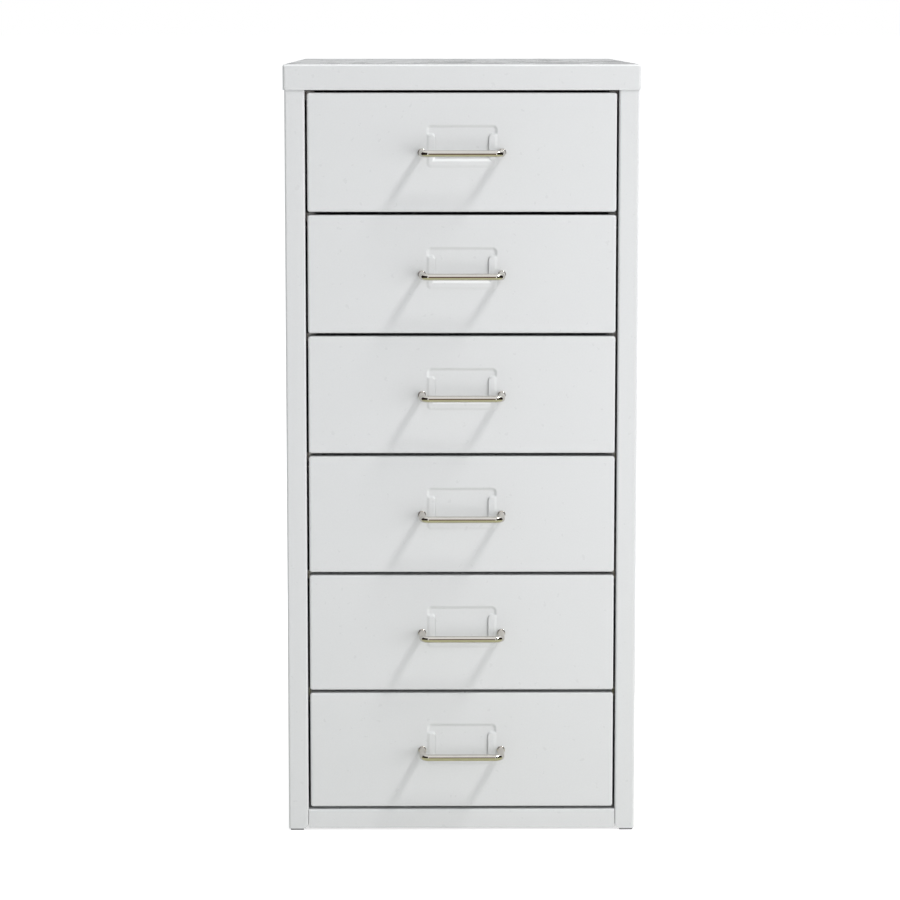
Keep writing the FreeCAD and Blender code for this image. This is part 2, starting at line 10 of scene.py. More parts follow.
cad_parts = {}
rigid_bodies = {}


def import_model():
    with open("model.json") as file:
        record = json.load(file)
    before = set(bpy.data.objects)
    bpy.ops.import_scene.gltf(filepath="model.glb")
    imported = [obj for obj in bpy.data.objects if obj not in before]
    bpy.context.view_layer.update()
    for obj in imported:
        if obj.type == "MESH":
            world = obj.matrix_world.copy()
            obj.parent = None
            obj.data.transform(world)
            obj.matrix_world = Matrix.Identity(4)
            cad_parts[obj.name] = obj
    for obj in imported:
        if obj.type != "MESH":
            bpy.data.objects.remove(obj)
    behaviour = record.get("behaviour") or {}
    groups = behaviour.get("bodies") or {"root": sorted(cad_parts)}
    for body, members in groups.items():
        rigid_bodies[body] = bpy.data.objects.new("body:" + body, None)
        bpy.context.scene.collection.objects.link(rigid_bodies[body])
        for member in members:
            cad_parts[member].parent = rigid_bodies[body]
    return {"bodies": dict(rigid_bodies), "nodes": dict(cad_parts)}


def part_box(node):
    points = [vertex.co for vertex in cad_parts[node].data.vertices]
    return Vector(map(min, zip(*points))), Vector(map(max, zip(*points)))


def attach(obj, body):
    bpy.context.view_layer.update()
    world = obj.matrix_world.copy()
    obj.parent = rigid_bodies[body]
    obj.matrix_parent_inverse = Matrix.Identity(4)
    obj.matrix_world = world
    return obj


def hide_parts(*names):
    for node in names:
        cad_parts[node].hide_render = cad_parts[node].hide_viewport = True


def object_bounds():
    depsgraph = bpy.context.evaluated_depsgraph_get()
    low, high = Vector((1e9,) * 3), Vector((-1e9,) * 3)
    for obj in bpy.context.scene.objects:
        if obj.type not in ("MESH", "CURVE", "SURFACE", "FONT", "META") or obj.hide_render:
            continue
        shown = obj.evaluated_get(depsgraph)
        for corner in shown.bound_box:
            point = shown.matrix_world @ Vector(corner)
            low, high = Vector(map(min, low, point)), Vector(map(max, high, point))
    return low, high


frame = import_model()
packed_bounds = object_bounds()

bl_info = {
    "name": "Small Metal Drawer Cabinet",
    "version": (1, 0, 0),
    "blender": (4, 5, 0),
    "location": "3D View > Sidebar > Cabinet",
    "description": "Finishes, fronts, handles and stage of a small metal drawer cabinet",
    "category": "Object",
}

DRAWERS = sorted(name for name in frame["bodies"] if name.startswith("drawer_"))
MM = 0.001
FACE_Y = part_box("left_side_panel")[0].y
BOX_DIGITS = 6  # decimals of a metre that are kept of a packed box

# How finely curves are made
ARC_STEPS = 6  # flat strips in a quarter turn of an edge
CORNER_STEPS = 8  # flat strips in a corner seen from the front
SLOPE_STEPS = 8  # flat strips across the slope round a label holder
ROLL_STEPS = 9  # flat strips across the inner edge of its arms
WIRE_SIDES = 28  # flat sides round a handle's wire
WIRE_ARC_STEPS = 12  # short lengths of wire in a bend
COLLAR_SIDES = 48  # flat sides round a collar
CARD_STEP = math.radians(6)  # turn between two flat parts of a swept card
SHARP_ANGLE = math.radians(40)  # a fold with a larger turn stays sharp

# How the arms of a label holder part from its backing, as shares of a full cut
CUT_START = 0.02  # from here on the sheet is cut
CUT_FULL = 0.25  # from here on the arms' edge is tucked in fully

# Painted highlight: paint made brighter along upward folds, where light would catch. A face looks
# up by 0 where it is upright, and by 1 where it is level.
FOLD_HIGHLIGHT = 1.31  # how much brighter the painted highlight makes a fold
LABEL_HIGHLIGHT = 0.8  # how strong the painted highlight is along the foot of a label window
FOLD_START, FOLD_FULL = 0.1, 0.45  # how far up a face looks that begins a fold, and is in it
LEVEL_START, LEVEL_FULL = 0.93, 0.99  # the same for a face that is nearly level, and is level

# Shades within a finish, as shares of its colour, and what sets like finishes apart
SMEAR_AND_TOP_SHADE, SPECK_SHADE = 0.95, 0.982
PEEL_STRENGTH, WORN_PEEL_STRENGTH = 0.4, 0.1
TRAY_SHADE, TRAY_EXTRA_ROUGHNESS, TRAY_UNEVENNESS = 0.98, 0.04, 0.03
CHROME_CLOUD_SHADE, CHROME_RIM_TINT = 0.95, (0.9, 0.87, 0.84)
SPANGLE_SHADES, SCREW_SHADE = (0.86, 1.08), 1.08
SCUFF_SHADE = 1.3

# Light and colours of the stage
FLOOR_GREY, FLOOR_GLOW, FLOOR_ROUGHNESS = 0.74, 0.7, 0.9
SKY_TINT = (0.97, 0.99, 1.0)
SKY_FADE = (0.1, 0.9)  # heights of a direction where the low light starts to fade, and is gone
BACKDROP_RISE = 0.3  # how far back a direction points where the light from behind is full
CREAM, BROWN = (0.64, 0.63, 0.4), (0.15, 0.09, 0.08)
DARK, GREY = (0.03, 0.02, 0.02), (0.42, 0.42, 0.42)
CARD_LIFT = 2 * MM  # height of the cards' feet above the floor
CARD_HOLE = 2 * MM  # radius of the hole in the middle of the cream card


def length(name, description, default):
    """A size that a user would change, in metres."""
    return bpy.props.FloatProperty(
        name=name, description=description, default=default, unit="LENGTH", subtype="DISTANCE"
    )


def angle(name, description, degrees):
    """An angle that a user would change, kept in radians."""
    return bpy.props.FloatProperty(
        name=name, description=description, default=math.radians(degrees), subtype="ANGLE"
    )


def power(name, description, default):
    """A lamp's power that a user would change, in watts."""
    return bpy.props.FloatProperty(
        name=name, description=description, default=default, min=0, unit="POWER"
    )


def share(name, description, default):
    """A plain number between nothing and all."""
    return bpy.props.FloatProperty(
        name=name, description=description, default=default, min=0, max=1, subtype="FACTOR"
    )


def colour(name, description, default):
    """A colour that a user would change."""
    return bpy.props.FloatVectorProperty(
        name=name, description=description, default=default, size=3, min=0, max=1, subtype="COLOR"
    )


class FrontSizes(bpy.types.PropertyGroup):
    """Sizes of the folded drawer fronts."""

    sheet: length("Sheet", "Thickness of the folded sheet", 0.7 * MM)
    edge: length("Edge", "Radius round the face of a front", 1.5 * MM)
    corner: length("Corner", "Radius of a front's corners seen from the front", 2.0 * MM)
    back_edge: length("Back edge", "Radius where the returns fold into the lips", 1.0 * MM)
    side_lip: length("Side lip", "Width of the lips behind the sides", 16 * MM)
    end_lip: length("End lip", "Height of the lips behind the top and bottom", 12 * MM)


class LabelSizes(bpy.types.PropertyGroup):
    """Sizes of the label holder pressed into each front."""

    width: length("Width", "Across the arms", 56.4 * MM)
    above: length("Above", "From the handle line up to the top of the pressing", 21.8 * MM)
    below: length("Below", "From the handle line down to the bottom of the pressing", 12.5 * MM)
    corner: length("Corner", "Radius of the outer corners", 4.0 * MM)
    slope: length("Slope", "Width of the drawn slope round the pressing", 2.8 * MM)
    height: length("Raise", "How far the arms stand out of the face", 0.5 * MM)
    sink: length("Sink", "How far the backing lies behind the face", 1.1 * MM)
    arm: length("Arm", "From the outside of an upright arm to the window", 7.2 * MM)
    foot_arm: length("Foot arm", "From the bottom of the pressing to the window", 7.8 * MM)
    mouth: length("Mouth", "Open strip above the arms, where a card goes in", 8.4 * MM)
    mouth_arm: length("Mouth arm", "From the top of the pressing to the flat backing", 4.8 * MM)
    roll: length("Roll", "Radius of the upright arms' inner edge", 0.5 * MM)
    foot_roll: length("Foot roll", "Width of the soft edge above the foot arm", 2.5 * MM)
    foot_fall: length("Foot fall", "How far that soft edge turns in", 1.2 * MM)
    foot_blend: length("Foot blend", "Height in which one edge turns into the other", 3.0 * MM)
    tuck: length("Tuck", "How far the arms' edge lies behind the backing's face", 0.1 * MM)
    shear: length("Shear", "Slit between the arms and the backing", 0.15 * MM)
    arm_round: length("Arm round", "Radius of the arms' upper inner corners", 3.0 * MM)
    fall: length("Fall", "Height of the slope at the arms' upper ends", 2.0 * MM)


class HandleSizes(bpy.types.PropertyGroup):
    """Sizes of the bent wire handles."""

    pitch: length("Pitch", "Between the legs at the drawer front", 63 * MM)
    wire: length("Wire", "Diameter of the wire", 5.4 * MM)
    standoff: length("Stand-off", "From the front to the middle of the bar", 28 * MM)
    splay: length("Splay", "How far each leg leans in on its way to the bar", 0.6 * MM)
    bend: length("Bend", "Radius of the wire's centre in its bends", 5.0 * MM)
    collar: length("Collar", "Diameter of the collar round each leg", 6.3 * MM)
    collar_height: length("Collar height", "How far the collar stands out", 1.2 * MM)
    collar_round: length("Collar round", "Radius on the collar's rim", 0.5 * MM)
    seat: length("Seat", "How far inside its collar the wire starts", 0.4 * MM)


class Finishes(bpy.types.PropertyGroup):
    """Colours and gloss of the cabinet's materials."""

    paint: colour("Paint", "Light grey powder coat", (0.708, 0.715, 0.718))
    paint_gloss: share("Paint roughness", "Roughness of the powder coat", 0.3)
    chrome: colour("Chrome", "Plating of the handles", (0.67, 0.65, 0.61))
    zinc: colour("Zinc", "Plating of the runners and screws", (0.62, 0.62, 0.6))
    plastic: colour("Plastic", "Moulded glides", (0.22, 0.22, 0.22))


class StageSizes(bpy.types.PropertyGroup):
    """Camera, floor, lamps, light from all round, and cards that reflections show."""

    distance: length("Distance", "From the camera to the face of the case", 2.5)
    eye: length("Eye", "Height of the camera above the top cover", 0.0296)
    aside: length("Aside", "How far the camera stands to the right of the middle", -0.0261)
    pitch: angle("Pitch", "How far the camera looks down", 7.586)
    yaw: angle("Yaw", "How far the camera looks left", -0.384)
    lens: bpy.props.FloatProperty(
        name="Lens", description="Focal length in mm", default=127.36, unit="CAMERA"
    )
    floor: length("Floor", "Half the width of the floor", 200)
    key_distance: length("Key distance", "From the key lamp to the middle of the front", 4.5)
    key_width: length("Key width", "Width of the key lamp", 0.6)
    key_length: length("Key length", "Length of the key lamp, towards the cabinet", 1.4)
    key_azimuth: angle("Key azimuth", "How far to the right of the front the key lamp stands", 49)
    key_elevation: angle("Key elevation", "How far above the front the key lamp stands", 50.8)
    key_power: power("Key power", "Power of the key lamp", 82)
    side_aside: length("Side aside", "How far to the right of the middle the side lamp is", 0.95)
    side_ahead: length("Side ahead", "How far in front of the case the side lamp is", 1.1)
    side_rise: length("Side rise", "How high the middle of the side lamp is", 0.28)
    side_width: length("Side width", "Width of the side lamp", 2.6)
    side_height: length("Side height", "Height of the side lamp", 0.9)
    side_power: power("Side power", "Power of the side lamp", 15)
    sky: share("Sky", "Strength of the light from low all round", 0.64)
    zenith: share("Zenith", "Strength of the light from straight above", 0.3)
    backdrop: share("Backdrop", "How much more light comes from behind the cabinet", 0.3)
    card_reach: length("Card reach", "From the front to the cards that stand round it", 2.4)
    card_height: length("Card height", "Height of the brown card ahead", 1.06)
    card_side_height: length("Card side height", "Height of the dark cards at the sides", 2.6)
    card_disc: length("Card disc", "How far the cream card reaches over the floor", 0.95)
    card_middle: angle("Card middle", "Half the width of the brown card", 6)
    card_side_start: angle("Card side start", "Where the dark cards start, from ahead", 16)
    card_side_end: angle("Card side end", "Where the dark cards end, from ahead", 100)
    card_rear: angle("Card rear", "Half the width of the grey card behind", 24)
    card_rear_height: length("Card rear height", "Height of the grey card behind", 1.2)


# Mesh helpers


def ease(value):
    """Goes from 0 to 1 with a soft start and end."""
    clamped = min(max(value, 0), 1)
    return clamped * clamped * (3 - 2 * clamped)


def quarter_turn(steps):
    """(sine, cosine) along a quarter turn, both ends included."""
    turns = [math.pi / 2 * step / steps for step in range(steps + 1)]
    return [(math.sin(turn), math.cos(turn)) for turn in turns]


def side_shares():
    """Where points lie along a front's straight sides: close together where the arms end."""
    foot_reach, foot_steps = 0.15, 6
    between = (0.26, 0.39)
    head_start, head_reach, head_steps = 0.52, 0.47, 24
    foot = [foot_reach * step / foot_steps for step in range(1, foot_steps + 1)]
    head = [head_start + head_reach * step / head_steps for step in range(head_steps + 1)]
    return [*foot, *between, *head]


def rounded_outline(half, low, high, radius):
    """(x, z) points round a rectangle with round corners, from its lower right corner."""
    corners = (
        (half - radius, low + radius, -math.pi / 2),
        (half - radius, high - radius, 0),
        (radius - half, high - radius, math.pi / 2),
        (radius - half, low + radius, math.pi),
    )
    foot, reach = low + radius, high - low - 2 * radius
    shares = side_shares()
    points = []
    for index, (x, z, start) in enumerate(corners):
        for step in range(CORNER_STEPS + 1):
            turn = start + math.pi / 2 * step / CORNER_STEPS
            points.append((x + radius * math.cos(turn), z + radius * math.sin(turn)))
        if index == 0:
            points += [(half, foot + reach * part) for part in shares]
        if index == 2:
            points += [(-half, foot + reach * part) for part in reversed(shares)]
    return points


def full_turn(sides):
    """(cosine, sine) of evenly spread directions round a full turn."""
    turns = [2 * math.pi * side / sides for side in range(sides)]
    return [(math.cos(turn), math.sin(turn)) for turn in turns]


def add_ring(shape, points):
    """New mesh points at these places, in the same order."""
    return [shape.verts.new(point) for point in points]


def join_rings(shape, first, second, keep=None):
    """Quads between two closed rings of as many points. keep says which stretches are joined."""
    count = len(first)
    for index in range(count):
        after = (index + 1) % count
        if keep is None or (keep[index] and keep[after]):
            shape.faces.new((first[index], first[after], second[after], second[index]))


def add_tube(shape, outlines):
    """A solid through closed rings of points, with a flat face at both ends."""
    rings = [add_ring(shape, points) for points in outlines]
    for first, second in zip(rings, rings[1:]):
        join_rings(shape, first, second)
    shape.faces.new(rings[0])
    shape.faces.new(rings[-1])


def finished_piece(name, shape, material):
    """Turns a bmesh into an object with smooth shading and sharp folds."""
    bmesh.ops.recalc_face_normals(shape, faces=shape.faces)
    mesh = bpy.data.meshes.new(name)
    shape.to_mesh(mesh)
    shape.free()
    mesh.shade_smooth()
    mesh.set_sharp_from_angle(angle=SHARP_ANGLE)
    mesh.materials.append(material)
    piece = bpy.data.objects.new(name, mesh)
    bpy.context.scene.collection.objects.link(piece)
    return piece


def thicken(piece, sheet):
    """Gives a skin its sheet's thickness, inwards."""
    thickness = piece.modifiers.new("sheet", "SOLIDIFY")
    thickness.thickness = sheet
    thickness.offset = -1
    thickness.use_even_offset = True


def keep_flats_flat(piece):
    """Shades flat faces evenly, right up to their rounded edges."""
    weighting = piece.modifiers.new("flats", "WEIGHTED_NORMAL")
    weighting.keep_sharp = True


# Materials


def map_range(tree, output, low, high, start, end):
    """Maps another node's value from start and end to low and high."""
    node = tree.nodes.new("ShaderNodeMapRange")
    node.inputs["From Min"].default_value = start
    node.inputs["From Max"].default_value = end
    node.inputs["To Min"].default_value = low
    node.inputs["To Max"].default_value = high
    tree.links.new(output, node.inputs["Value"])
    return node.outputs["Result"]


class Nodes:
    """A short way to write a material's node tree."""

    def __init__(self, name):
        self.material = bpy.data.materials.new(name)
        self.material.use_nodes = True
        self.tree = self.material.node_tree
        self.shader = self.tree.nodes["Principled BSDF"]
        self.place = self.tree.nodes.new("ShaderNodeTexCoord").outputs["Object"]

    def link(self, output, target):
        """Leads an output to a socket."""
        self.tree.links.new(output, target)

    def set(self, **values):
        """Sets even values on the shader's own sockets."""
        for name, value in values.items():
            socket = self.shader.inputs[name.replace("_", " ")]
            socket.default_value = (*value, 1) if isinstance(value, tuple) else value

    def noise(self, scale, detail=2, stretch=None):
        """Cloudy values about one half, with this many blobs in a metre."""
        node = self.tree.nodes.new("ShaderNodeTexNoise")
        node.inputs["Scale"].default_value = scale
        node.inputs["Detail"].default_value = detail
        place = self.place
        if stretch:
            mapping = self.tree.nodes.new("ShaderNodeMapping")
            mapping.inputs["Scale"].default_value = stretch
            self.link(place, mapping.inputs["Vector"])
            place = mapping.outputs["Vector"]
        self.link(place, node.inputs["Vector"])
        return node.outputs["Fac"]

    def spread(self, output, low=0, high=1, start=0.3, end=0.7):
        """Maps a cloudy value to a range."""
        return map_range(self.tree, output, low, high, start, end)

    def blend(self, factor, first, second):
        """A colour between two others. Each is a colour or another node's output."""
        node = self.tree.nodes.new("ShaderNodeMix")
        node.data_type = "RGBA"
        self.link(factor, node.inputs["Factor"])
        for socket, value in (("A", first), ("B", second)):
            target = next(
                entry for entry in node.inputs if entry.name == socket and entry.type == "RGBA"
            )
            if isinstance(value, bpy.types.NodeSocket):
                self.link(value, target)
            else:
                target.default_value = (*value, 1)
        return next(entry for entry in node.outputs if entry.type == "RGBA")

    def stored(self, name):
        """A value that a mesh keeps at its points, 0 in meshes without it."""
        node = self.tree.nodes.new("ShaderNodeAttribute")
        node.attribute_name = name
        return node.outputs["Fac"]

    def along(self, way, start, end):
        """0 to 1 between two distances along a direction."""
        node = self.tree.nodes.new("ShaderNodeVectorMath")
        node.operation = "DOT_PRODUCT"
        self.link(self.place, node.inputs[0])
        node.inputs[1].default_value = way
        return self.spread(node.outputs["Value"], start=start, end=end)

    def upwardness(self):
        """How far a face looks up, 1 where it is level."""
        normal = self.tree.nodes.new("ShaderNodeNewGeometry").outputs["Normal"]
        split = self.tree.nodes.new("ShaderNodeSeparateXYZ")
        self.link(normal, split.inputs["Vector"])
        return split.outputs["Z"]

    def levelness(self):
        """1 on level faces that look up, 0 elsewhere."""
        return self.spread(self.upwardness(), start=LEVEL_START, end=LEVEL_FULL)

    def upward_folds(self):
        """1 on faces that turn between upright and level, 0 elsewhere."""
        upwardness = self.upwardness()
        rise = self.spread(upwardness, start=FOLD_START, end=FOLD_FULL)
        fall = self.spread(upwardness, low=1, high=0, start=LEVEL_START, end=LEVEL_FULL)
        both = self.tree.nodes.new("ShaderNodeMath")
        both.operation = "MINIMUM"
        self.link(rise, both.inputs[0])
        self.link(fall, both.inputs[1])
        return both.outputs["Value"]

    def bump(self, height, distance, strength):
        """Fine relief, this high between its lowest and highest points."""
        node = self.tree.nodes.new("ShaderNodeBump")
        node.inputs["Strength"].default_value = strength
        node.inputs["Distance"].default_value = distance
        self.link(height, node.inputs["Height"])
        self.link(node.outputs["Normal"], self.shader.inputs["Normal"])


def shade(base, factor):
    """A colour made darker or lighter."""
    return tuple(channel * factor for channel in base)


def powder_coat(name, base, roughness, unevenness=0.002, worn_with_painted_light=False):
    """Satin powder coat with a fine orange peel and a faint unevenness.

    Worn paint has darker mottled patches on level faces, partly marks and partly painted shade
    that makes the top darker, and dull blotches there, fewer towards the front and the right, and
    a painted highlight along its upward folds.
    Other paint gets a painted highlight where the mesh says so.
    """
    nodes = Nodes(name)
    clouds = nodes.spread(nodes.noise(scale=14, detail=4), start=0.2, end=0.8)
    tone = nodes.blend(clouds, shade(base, 1 - unevenness), shade(base, 1 + unevenness))
    gloss = nodes.spread(
        nodes.noise(scale=160, detail=3), low=roughness - 0.03, high=roughness + 0.04
    )
    if worn_with_painted_light:
        level = nodes.levelness()
        # darker mottled patches on level faces: partly marks, partly painted shade that makes the
        # top darker than the sides
        smears_and_top_shade = nodes.spread(
            nodes.noise(scale=26, detail=5, stretch=(1, 0.5, 1)), start=0.35, end=0.65
        )
        smeared_and_shaded = nodes.blend(smears_and_top_shade, shade(base, SMEAR_AND_TOP_SHADE), tone)
        tone = nodes.blend(level, tone, smeared_and_shaded)
        blotches = nodes.noise(scale=50, detail=4, stretch=(1, 0.2, 1))
        clean = nodes.spread(blotches, low=roughness - 0.2, high=roughness - 0.02)
        dull = nodes.spread(blotches, low=roughness - 0.12, high=roughness + 0.25)
        backward = nodes.along(way=(-0.6, 1, 0), start=-0.28, end=0.2)
        blotchy = nodes.blend(backward, clean, dull)
        gloss = nodes.blend(level, gloss, blotchy)
    speckle = nodes.spread(nodes.noise(scale=700, detail=3), start=0.35, end=0.65)
    tone = nodes.blend(speckle, shade(base, SPECK_SHADE), tone)
    # painted highlight: upward folds, or the mesh's stored values, are made brighter
    painted_highlight = nodes.upward_folds() if worn_with_painted_light else nodes.stored("painted_highlight")
    tone = nodes.blend(painted_highlight, tone, shade(base, FOLD_HIGHLIGHT))
    nodes.link(tone, nodes.shader.inputs["Base Color"])
    nodes.link(gloss, nodes.shader.inputs["Roughness"])
    orange_peel = nodes.noise(scale=430, detail=1)
    peel_strength = WORN_PEEL_STRENGTH if worn_with_painted_light else PEEL_STRENGTH
    nodes.bump(orange_peel, distance=0.03 * MM, strength=peel_strength)
    nodes.set(Metallic=0, IOR=1.5)
    return nodes.material


def chrome_plate(name, base):
    """Polished plating with the faintest smears."""
    nodes = Nodes(name)
    clouds = nodes.spread(nodes.noise(scale=140, detail=3))
    tone = nodes.blend(clouds, shade(base, CHROME_CLOUD_SHADE), base)
    nodes.link(tone, nodes.shader.inputs["Base Color"])
    gloss = nodes.spread(nodes.noise(scale=90, detail=4), low=0.02, high=0.055)
    nodes.link(gloss, nodes.shader.inputs["Roughness"])
    nodes.bump(nodes.noise(scale=420), distance=0.01 * MM, strength=0.4)
    nodes.set(Metallic=1, Specular_Tint=CHROME_RIM_TINT)
    return nodes.material


def zinc_plate(name, base):
    """Bright zinc with a faint spangle and rolling lines."""
    nodes = Nodes(name)
    spangle = nodes.spread(nodes.noise(scale=260))
    darkest, lightest = SPANGLE_SHADES
    tone = nodes.blend(spangle, shade(base, darkest), shade(base, lightest))
    nodes.link(tone, nodes.shader.inputs["Base Color"])
    streaks = nodes.noise(scale=60, detail=4, stretch=(1, 0.05, 1))
    gloss = nodes.spread(streaks, low=0.28, high=0.48)
    nodes.link(gloss, nodes.shader.inputs["Roughness"])
    lines = nodes.noise(scale=500, detail=3, stretch=(1, 0.03, 1))
    nodes.bump(lines, distance=0.01 * MM, strength=0.5)
    nodes.set(Metallic=1)
    return nodes.material


def moulded_plastic(name, base):
    """Matte grey plastic with a fine grain and scuffs."""
    nodes = Nodes(name)
    scuffs = nodes.spread(nodes.noise(scale=180, detail=5), start=0.45, end=0.75)
    tone = nodes.blend(scuffs, base, shade(base, SCUFF_SHADE))
    nodes.link(tone, nodes.shader.inputs["Base Color"])
    gloss = nodes.spread(nodes.noise(scale=300), low=0.5, high=0.7)
    nodes.link(gloss, nodes.shader.inputs["Roughness"])
    nodes.bump(nodes.noise(scale=1500), distance=0.04 * MM, strength=0.6)
    return nodes.material


def dress(names, material):
    """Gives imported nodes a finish."""
    for name in names:
        mesh = frame["nodes"][name].data
        mesh.materials.clear()
        mesh.materials.append(material)


def nodes_named(*words):
    """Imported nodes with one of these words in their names."""
    return [name for name in sorted(frame["nodes"]) if any(word in name for word in words)]


# Pieces


def end_inset(inward, total, label):
    """How far a ring of the pressing lies inside its top or bottom, for one inside its sides."""
    if inward < label.slope:
        return inward
    share_past = (inward - label.slope) / (label.arm - label.slope)
    return label.slope + share_past * (total - label.slope)


def pressing_depth(inward, rise, label):
    """Depth of the pressing inside its outline, and how much of a cut edge it has there."""
    climb = ease(inward / label.slope)
    over = min(max((inward - (label.arm - label.roll)) / label.roll, 0), 1)
    side_fall = label.roll * (1 - math.sqrt(1 - over * over))
    foot_fall = label.foot_fall * ease((inward - (label.arm - label.foot_roll)) / label.foot_roll)
    foot = end_inset(inward, label.foot_arm, label) - label.below
    footness = 1 - ease((rise - foot) / label.foot_blend)
    rim = side_fall + (foot_fall - side_fall) * footness - climb * label.height

    past = min(max(inward - (label.arm - label.arm_round), 0), label.arm_round)
    drop = label.arm_round - math.sqrt(label.arm_round**2 - past**2)
    arm_end = label.above - label.mouth - drop
    fade = ease((rise - arm_end) / label.fall)
    return rim + (label.sink * climb - rim) * fade, 1 - fade


def add_edge_rings(shape, sizes, low, high):
    """Rings from the lips at the back of a front, over its folded edges, to its face."""
    half = round((high.x - low.x) / 2, BOX_DIGITS)
    depth = high.y - FACE_Y

    def edge_ring(side, end, radius, at):
        """A ring this far inside the sides and ends, and this far behind the face."""
        points = rounded_outline(half - side, low.z + end, high.z - end, radius)
        return add_ring(shape, [(x, FACE_Y + at, z) for x, z in points])

    rings = [edge_ring(sizes.side_lip, sizes.end_lip, sizes.corner, depth)]
    for sine, cosine in quarter_turn(ARC_STEPS):
        inset = sizes.back_edge * (1 - sine)
        at = depth - sizes.back_edge * (1 - cosine)
        rings.append(edge_ring(inset, inset, max(sizes.corner - inset, sizes.sheet), at))
    for sine, cosine in quarter_turn(ARC_STEPS):
        inset = sizes.edge * (1 - cosine)
        at = sizes.edge * (1 - sine)
        rings.append(edge_ring(inset, inset, max(sizes.corner - inset, sizes.sheet / 2), at))
    return rings


def label_outline(label, line, inward, cut_edge=False):
    """Points of a ring this far inside the pressing, and which of them are uncut."""
    points = rounded_outline(
        label.width / 2 - inward,
        end_inset(inward, label.foot_arm, label) - label.below,
        label.above - end_inset(inward, label.mouth_arm, label),
        max(label.corner - inward, label.shear),
    )
    placed, uncut = [], []
    for x, rise in points:
        at, cut = pressing_depth(inward, rise, label)
        if cut_edge:
            at += (label.sink + label.tuck - at) * min(cut / CUT_FULL, 1)
        placed.append((x, FACE_Y + at, line + rise))
        uncut.append(cut < CUT_START)
    return placed, uncut


def add_label_rings(shape, label, line):
    """Rings from the face over the slope and the arms, with a painted highlight along the foot of
    the window.
    """
    painted_highlight = shape.verts.layers.float["painted_highlight"]
    insets = [label.slope * step / SLOPE_STEPS for step in range(SLOPE_STEPS + 1)]
    insets += [label.arm - label.foot_roll * (1 - sine) for sine, _ in quarter_turn(ROLL_STEPS)]
    rings = []
    for inward in insets:
        ring = add_ring(shape, label_outline(label, line, inward)[0])
        over = (inward - (label.arm - label.foot_roll)) / label.foot_roll
        for point in ring:
            height = point.co.z - line + label.below - label.foot_arm
            near_foot = 1 - ease(height / label.foot_blend)
            # painted highlight where the foot of the window turns up towards the light
            point[painted_highlight] = LABEL_HIGHLIGHT * ease(over * 2) * near_foot
        rings.append(ring)
    return rings


def make_front(number):
    """A drawer front folded from one sheet, with its pressed label holder."""
    sizes = bpy.context.scene.cabinet_front
    label = bpy.context.scene.cabinet_label
    low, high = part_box(f"drawer_{number}_front")
    line = (low.z + high.z) / 2
    shape = bmesh.new()
    shape.verts.layers.float.new("painted_highlight")
    rings = add_edge_rings(shape, sizes, low, high)
    rings += add_label_rings(shape, label, line)
    tucked, uncut = label_outline(label, line, label.arm, cut_edge=True)
    rings.append(add_ring(shape, tucked))
    for first, second in zip(rings, rings[1:]):
        join_rings(shape, first, second)
    window = label_outline(label, line, label.arm + label.shear)[0]
    backing = add_ring(shape, [(x, FACE_Y + label.sink, z) for x, _, z in window])
    join_rings(shape, rings[-1], backing, uncut)
    shape.faces.new(backing)

    paint = bpy.data.materials["front_coat"]
    piece = finished_piece(f"drawer_{number}_folded_front", shape, paint)
    thicken(piece, sizes.sheet)
    keep_flats_flat(piece)
    return piece


def turned(arrow, turn):
    """A flat vector turned anticlockwise."""
    sine, cosine = math.sin(turn), math.cos(turn)
    return Vector((arrow.x * cosine - arrow.y * sine, arrow.x * sine + arrow.y * cosine))


def wire_path(sizes):
    """Centre line of a handle as (x, depth) points and their normals."""
    half = sizes.pitch / 2
    bar_half = half - sizes.splay
    leg = Vector((bar_half - half, sizes.seat - sizes.standoff)).normalized()
    bend_turn = math.acos(leg.dot(Vector((-1, 0))))
    setback = sizes.bend * math.tan(bend_turn / 2)
    start = Vector((bar_half, -sizes.standoff)) - leg * setback
    centre = start + Vector((leg.y, -leg.x)) * sizes.bend
    spoke = start - centre
    right = [(Vector((half, -sizes.seat)), spoke.normalized())]
    for step in range(WIRE_ARC_STEPS + 1):
        spun = turned(spoke, -bend_turn * step / WIRE_ARC_STEPS)
        right.append((centre + spun, spun.normalized()))
    left = [
        (Vector((-place.x, place.y)), Vector((-normal.x, normal.y)))
        for place, normal in reversed(right)
    ]
    return right + left


def wire_outline(place, normal, radius, line):
    """Points round the wire at one place on its path."""
    points = []
    for cosine, sine in full_turn(WIRE_SIDES):
        out = radius * cosine
        x = place.x + normal.x * out
        points.append((x, FACE_Y + place.y + normal.y * out, line + radius * sine))
    return points


def collar_outlines(sizes, middle, line):
    """Rings of points from a collar's foot over its rounded rim."""
    radius = sizes.collar / 2
    rim = sizes.collar_round
    profile = [(radius, 0)]
    profile += [
        (radius - rim * (1 - cosine), -(sizes.collar_height - rim) - rim * sine)
        for sine, cosine in quarter_turn(ARC_STEPS)
    ]
    return [
        [
            (middle + distance * cosine, FACE_Y + at, line + distance * sine)
            for cosine, sine in full_turn(COLLAR_SIDES)
        ]
        for distance, at in profile
    ]


def make_handle(number):
    """A bent wire bow on two collars."""
    sizes = bpy.context.scene.cabinet_handle
    low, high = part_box(f"drawer_{number}_handle")
    line = (low.z + high.z) / 2
    shape = bmesh.new()
    radius = sizes.wire / 2
    path = wire_path(sizes)
    add_tube(shape, [wire_outline(place, normal, radius, line) for place, normal in path])
    for side in (-1, 1):
        add_tube(shape, collar_outlines(sizes, side * sizes.pitch / 2, line))
    plating = bpy.data.materials["handle_plating"]
    piece = finished_piece(f"drawer_{number}_wire_handle", shape, plating)
    keep_flats_flat(piece)
    return piece


# Operators


